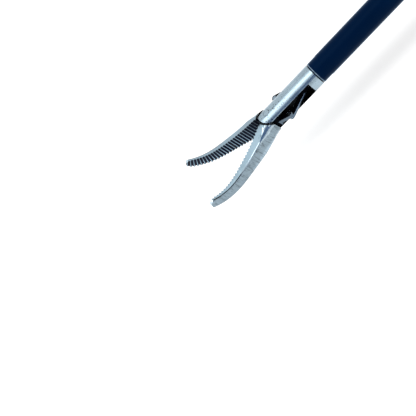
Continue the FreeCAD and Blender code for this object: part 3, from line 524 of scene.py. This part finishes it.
shadowBlack = makeShadow("shadowBlack")
# painted highlight: bright steel for the broken edges
edgeHighlightSteel = makeSteel("edgeHighlightSteel", workingEnd["edgeHighlightColour"], rough=0.24, pits=0.7)
# painted shade: dark steel for the links and tangs in the slot
linkShadeSteel = makeSteel("linkShadeSteel", workingEnd["linkShadeColour"], rough=0.28, pits=0.55, cloudDepth=0.7)
# painted shade: dimmer steel for the pins, rivets and rod end in the slot
rimShadeSteel = makeSteel("rimShadeSteel", workingEnd["rimShadeColour"], rough=0.22, pits=0.6)
clevisSteel = makeSteel("clevisSteel", workingEnd["clevisColour"], rough=0.22, grainBump=0.12, pits=0.52,
                        cloudDepth=0.4, pitDepth=0.5, darken=clevisShade)
steels = {
    "shaft_tube": makeSteel("tubeSteel", workingEnd["clevisColour"], rough=0.25),
    "push_rod": makeSteel("rodSteel", workingEnd["clevisColour"], rough=0.25),
    "rod_barrel": makeSteel("barrelSteel", (0.55, 0.6, 0.64), rough=0.15),
    "spindle": makeSteel("spindleSteel", (0.5, 0.56, 0.6), rough=0.28, crosswise=True),
    "latch_plate": makeSteel("latchSteel", (0.45, 0.5, 0.54), rough=0.35),
    "jaw_pivot_pin": makeSteel("pivotSteel", (0.36, 0.46, 0.53), rough=0.24, pits=0.5, pitDepth=0.5),
    "lever_axle": makeSteel("axleSteel", (0.5, 0.56, 0.6), rough=0.25),
    "button_spring": makeSteel("springSteel", (0.45, 0.48, 0.5), rough=0.25),
    "housing_screws": makeSteel("screwSteel", (0.42, 0.46, 0.5), rough=0.3),
    "electrode_post": makeSteel("postChrome", (0.62, 0.66, 0.7), rough=0.12, grainBump=0.03),
    "contact_leaf": makeSteel("leafBronze", (0.6, 0.42, 0.2), rough=0.3),
    "rod_link_pin": rimShadeSteel, "upper_rivet": rimShadeSteel, "lower_rivet": rimShadeSteel,
}
print("steels made")


# plastics and rubbers
plasticPattern = {
    "roughByBlotch": 0.2, "bumpDepth": 0.04 * mm, "coatRoughness": 0.08,
    "sheenRoughness": 0.3, "sheenTint": (0.3, 0.6, 0.9, 1.0),
}
lipHighlightLook = {  # painted highlight on the sleeve's front lip; lengths in millimetres, back from the sleeve's end
    "middle": 0.2, "half": 0.09, "wearScale": 1500.0, "colour": (0.25, 0.36, 0.46, 1.0),
}
handleSkin = {"grain": 2600.0, "grainBump": 0.5, "swirl": 0.3}  # the handle's coarser texture


def makePlastic(name, colour, rough, coat=0.0, grain=9000.0, grainBump=0.2, swirl=0.2, scuffed=0.5,
                specular=0.5, glossTint=(1.0, 1.0, 1.0), sheen=0.0, lighten=None):
    material, tree, shader = startMaterial(name)
    point = objectPoint(tree)
    skin = useGroup(tree, skinGroup, point, Grain=grain)
    tone = calc(tree, "MULTIPLY_ADD", skin["Slow"], swirl * 2, 1.0 - swirl)
    tone = calc(tree, "MULTIPLY_ADD", skin["Scuffs"], scuffed, tone)
    base = vectorCalc(tree, "SCALE", colour, tone)
    if lighten is not None:
        base = lighten(tree, point, base)
    link(tree, base, shader.inputs["Base Color"])
    byBlotch = plasticPattern["roughByBlotch"]
    link(tree, calc(tree, "MULTIPLY_ADD", skin["Slow"], byBlotch, rough - byBlotch / 2),
         shader.inputs["Roughness"])
    shader.inputs["Specular IOR Level"].default_value = specular
    shader.inputs["Specular Tint"].default_value = (*glossTint, 1.0)
    if sheen:
        shader.inputs["Sheen Weight"].default_value = sheen
        shader.inputs["Sheen Roughness"].default_value = plasticPattern["sheenRoughness"]
        shader.inputs["Sheen Tint"].default_value = plasticPattern["sheenTint"]
    if coat:
        shader.inputs["Coat Weight"].default_value = coat
        shader.inputs["Coat Roughness"].default_value = plasticPattern["coatRoughness"]
    addBump(tree, shader, skin["Fine"], grainBump, plasticPattern["bumpDepth"])
    return material


def lipHighlight(tree, point, base):  # painted highlight: a thin pale ring on the sleeve's front lip, broken up by noise
    behindEnd = calc(tree, "SUBTRACT", sleeveEnd, inMillimetres(tree, point)[0])
    ring = calc(tree, "COMPARE", behindEnd, lipHighlightLook["middle"], lipHighlightLook["half"])
    worn = noise(tree, point, lipHighlightLook["wearScale"])
    return mixColour(tree, calc(tree, "MULTIPLY", ring, worn), base, lipHighlightLook["colour"])


plastics = {
    "insulation_sleeve": makePlastic("sleeveBlack", (0.0002, 0.007, 0.03), 0.22, grain=2500.0, grainBump=0.02,
                                     scuffed=0.2, specular=0.02, glossTint=(0.35, 0.65, 1.0),
                                     sheen=0.8, lighten=lipHighlight),
    "nose_hub": makePlastic("hubBlack", (0.02, 0.021, 0.024), 0.38, **handleSkin),
    "flush_port": makePlastic("portBlack", (0.02, 0.021, 0.024), 0.3),
    "rotation_knob": makePlastic("knobBlue", (0.03, 0.045, 0.08), 0.4, **handleSkin),
    "housing_left": makePlastic("shellBlackLeft", (0.02, 0.021, 0.025), 0.42, **handleSkin),
    "housing_right": makePlastic("shellBlackRight", (0.02, 0.021, 0.025), 0.42, **handleSkin),
    "thumb_lever": makePlastic("leverBlack", (0.02, 0.021, 0.025), 0.4, **handleSkin),
    "release_button": makePlastic("buttonBlue", (0.03, 0.1, 0.28), 0.25, coat=0.4),
    "rod_guides": makePlastic("guideWhite", (0.8, 0.8, 0.78), 0.4),
    "lever_washers": makePlastic("washerWhite", (0.8, 0.8, 0.78), 0.4),
    "rod_seal": makePlastic("sealGrey", (0.12, 0.12, 0.125), 0.6),
    "spindle_o_ring": makePlastic("ringBlack", (0.015, 0.015, 0.016), 0.55),
}
edgePlastics = {  # the same plastics where the edges are rubbed smooth and glossier, and painted lighter as a highlight
    "shell": makePlastic("shellEdge", (0.07, 0.073, 0.08), 0.22, grainBump=0.05),
    "knob": makePlastic("knobEdge", (0.1, 0.13, 0.19), 0.24, grainBump=0.05),
    "button": makePlastic("buttonEdge", (0.06, 0.16, 0.38), 0.2, coat=0.4, grainBump=0.05),
}
print("plastics made")

dressedNames = []
copySettings = {"mergeWithin": 0.001 * mm, "flatWithin": 0.5}  # degrees between the facets of one flat


# copies of CAD pieces that get broken edges and more than one finish
def mergedCopy(name):
    shape = bmesh.new()
    shape.from_mesh(nodes[name].data)
    bmesh.ops.remove_doubles(shape, verts=shape.verts, dist=copySettings["mergeWithin"])
    flat = math.radians(copySettings["flatWithin"])
    bmesh.ops.dissolve_limit(shape, angle_limit=flat, verts=shape.verts, edges=shape.edges)
    return shape


def breakEdges(shape, width, segments=1, sharpest=30.0, material=1, keep=None):  # width in millimetres
    edges = [e for e in shape.edges if e.is_manifold and e.is_convex
             and e.calc_face_angle() > math.radians(sharpest) and (keep is None or keep(e))]
    bmesh.ops.bevel(shape, geom=edges, offset=width * mm, offset_type="OFFSET", affect="EDGES",
                    segments=segments, profile=0.5, material=material, clamp_overlap=True)


def dressNode(name, pieceName, shape, materials, smoothAngle=32.0):
    for face in shape.faces:
        face.smooth = True
    mesh = bpy.data.meshes.new(pieceName)
    shape.to_mesh(mesh)
    shape.free()
    mesh.set_sharp_from_angle(angle=math.radians(smoothAngle))
    for material in materials:
        mesh.materials.append(material)
    piece = bpy.data.objects.new(pieceName, mesh)
    bpy.context.collection.objects.link(piece)
    evened = piece.modifiers.new("evenedNormals", "WEIGHTED_NORMAL")
    evened.keep_sharp = True
    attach(piece, bodyOf[name])
    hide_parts(name)
    dressedNames.append(name)


jawLook = {  # lengths in millimetres, along the jaw from its pivot
    "edgeWidth": 0.07,  # at the outer edges
    "sharpest": 32.0,  # degrees between faces
    "toothTop": 0.36,  # higher faces than this are side or back
    "hubEnd": 2.14,  # flat faces behind this are in the slot
    "rimEnd": 1.2,  # and so are the faces round the hub behind this
    "tangStart": -1.0,  # behind this the rims are those of the tang
    "rootEnd": 9.2,  # the sloped faces beyond this belong to the ridge
    "bluntStart": 19.0,  # no edges are broken on the small facets of the blunt tip
    "tipStart": 19.2,  # the blunt tip's end face lies beyond this
    "tipTurn": 36.0,  # degrees that the curved tip points up
    "upper": {"node": "upper_jaw", "side": -1.0, "sideColour": (0.31, 0.42, 0.5)},
    # painted shade: the lower jaw's sides are a darker copy of the upper jaw's steel, against the lamp's
    # highlight
    "lower": {"node": "lower_jaw", "side": 1.0, "sideColour": (0.25, 0.34, 0.4)},
}
facing = {  # limits for a face's normal, by which it gets its finish
    "flat": 0.9, "steep": 0.55, "tooth": 0.5, "back": 0.93, "slope": 0.45, "tip": 0.5, "tipAside": 0.3,
    "linkRim": 0.5,
}
jawFinishes = ("side", "back", "teeth", "edge", "shadow", "tang", "ridge", "root")
tipTurn = math.radians(jawLook["tipTurn"])
tipWay = Vector((math.cos(tipTurn), 0.0, math.sin(tipTurn)))


def jawFinish(place, normal, side):  # by place and normal on the jaw laid along X
    out, upright = normal.y * side, abs(normal.z)
    # painted highlight: the blunt tip's end face gets the bright edge steel
    if (place.x > jawLook["tipStart"] and normal.dot(tipWay) > facing["tip"]
            and abs(normal.y) < facing["tipAside"]):
        return "edge"
    if place.x < jawLook["hubEnd" if upright > facing["flat"] else "rimEnd"]:
        return "shadow" if upright > facing["flat"] or place.x > jawLook["tangStart"] else "tang"
    if place.y * side < jawLook["toothTop"] and upright < facing["steep"] and out < facing["tooth"]:
        return "teeth"
    if out > facing["back"]:
        return "back"
    if out > facing["slope"]:
        return "ridge" if place.x > jawLook["rootEnd"] else "root"
    return "side"


def dressJaw(label):
    side = jawLook[label]["side"]
    shape = mergedCopy(jawLook[label]["node"])
    unturn = Matrix.Rotation(math.radians(-side * workingEnd["restAngle"]), 3, "Z")

    def laidOut(point):
        return unturn @ (point - Vector((pivotX, 0, 0))) / mm

    def clearOfTeeth(edge):
        places = [laidOut(v.co) for v in edge.verts]
        if max(p.x for p in places) > jawLook["bluntStart"]:
            return False
        return all(p.y * side > jawLook["toothTop"] or p.x < jawLook["hubEnd"] for p in places)

    edgeIndex = jawFinishes.index("edge")
    breakEdges(shape, jawLook["edgeWidth"], sharpest=jawLook["sharpest"], material=edgeIndex,
               keep=clearOfTeeth)
    for face in shape.faces:
        if face.material_index != edgeIndex:
            finish = jawFinish(laidOut(face.calc_center_median()), unturn @ face.normal, side)
            face.material_index = jawFinishes.index(finish)
    finishes = {
        "side": makeSteel(label + "JawSide", jawLook[label]["sideColour"], rough=0.4, lineDepth=0.16,
                          cloudDepth=0.3, jawSide=side, darken=sideShade),
        "back": makeSteel(label + "JawBack", jawPaint["backColour"], rough=0.3, grainBump=0.3,
                          grainAcross=1800.0, grainAlong=200.0, lineDepth=0.5, cloudDepth=0.35,
                          jawSide=side, crosswise=True, darken=backSmudgesAndHighlight),
        "teeth": makeSteel(label + "JawTeeth", jawPaint["crestColour"], rough=0.35, lineDepth=0.2,
                           jawSide=side, darken=toothShade(side), lowest=jawPaint["grooveShadeColour"]),
        # painted highlight on the broken edges and the tip's end; painted shade on the slot faces and the
        # tang
        "edge": edgeHighlightSteel, "shadow": shadowBlack, "tang": linkShadeSteel,
        # painted reflection along the ridge
        "ridge": makeSteel(label + "JawRidge", workingEnd["edgeHighlightColour"], rough=0.25, jawSide=side,
                           darken=ridgeReflection),
        # painted highlight: brighter steel on the round root, with painted shade in the hinge gap
        "root": makeSteel(label + "JawRoot", jawPaint["rootHighlightColour"], rough=0.13, lineDepth=0.12,
                          jawSide=side, darken=hingeGapShade),
    }
    dressNode(jawLook[label]["node"], label + "Jaw", shape, [finishes[finish] for finish in jawFinishes])


for label in ("upper", "lower"):
    dressJaw(label)

linkageEdges = {  # widths in millimetres
    "link": 0.08, "rodEnd": 0.06, "clevis": 0.07,
    "clevisFrom": (sleeveEnd + 0.5) * mm,  # the fork's edges are broken beyond this place
}


def dressLink(label):  # painted shade on the black flats and dark rims, and painted highlights on the bright edges between them
    shape = mergedCopy(label + "_link")
    breakEdges(shape, linkageEdges["link"])
    for face in shape.faces:
        if face.material_index == 0 and abs(face.normal.z) < facing["linkRim"]:
            face.material_index = 2
    dressNode(label + "_link", label + "Link", shape, [shadowBlack, edgeHighlightSteel, linkShadeSteel])


def dressRodEnd():
    shape = mergedCopy("rod_end")
    breakEdges(shape, linkageEdges["rodEnd"])
    dressNode("rod_end", "rodEnd", shape, [shadowBlack, rimShadeSteel])


def dressClevis():  # the spigot in the tube isn't seen and keeps its edges
    shape = mergedCopy("clevis")
    breakEdges(shape, linkageEdges["clevis"], segments=2,
               keep=lambda e: e.verts[0].co.x > linkageEdges["clevisFrom"])
    dressNode("clevis", "clevisFork", shape, [clevisSteel, edgeHighlightSteel])


for label in ("upper", "lower"):
    dressLink(label)
dressRodEnd()
dressClevis()
print("working end dressed")

softEdges = {  # plastic pieces, how far their edges are rounded in millimetres, and the edges' finish
    "housing_left": (0.35, "shell"), "housing_right": (0.35, "shell"), "thumb_lever": (0.5, "shell"),
    "rotation_knob": (0.45, "knob"), "release_button": (0.3, "button"), "nose_hub": (0.3, "shell"),
    "flush_port": (0.15, "shell"),
}
for name, (width, edgeFinish) in softEdges.items():
    shape = mergedCopy(name)
    breakEdges(shape, width, segments=3, sharpest=28.0)
    words = name.split("_")
    dressNode(name, words[0] + words[1].capitalize(), shape,
              [plastics[name], edgePlastics[edgeFinish]], smoothAngle=40.0)
print("handle dressed")

for name, material in {**steels, **plastics}.items():  # the other solids get their finish as they are
    if name not in dressedNames:
        mesh = nodes[name].data
        mesh.materials.clear()
        mesh.materials.append(material)
print("finishes placed")

print("done")
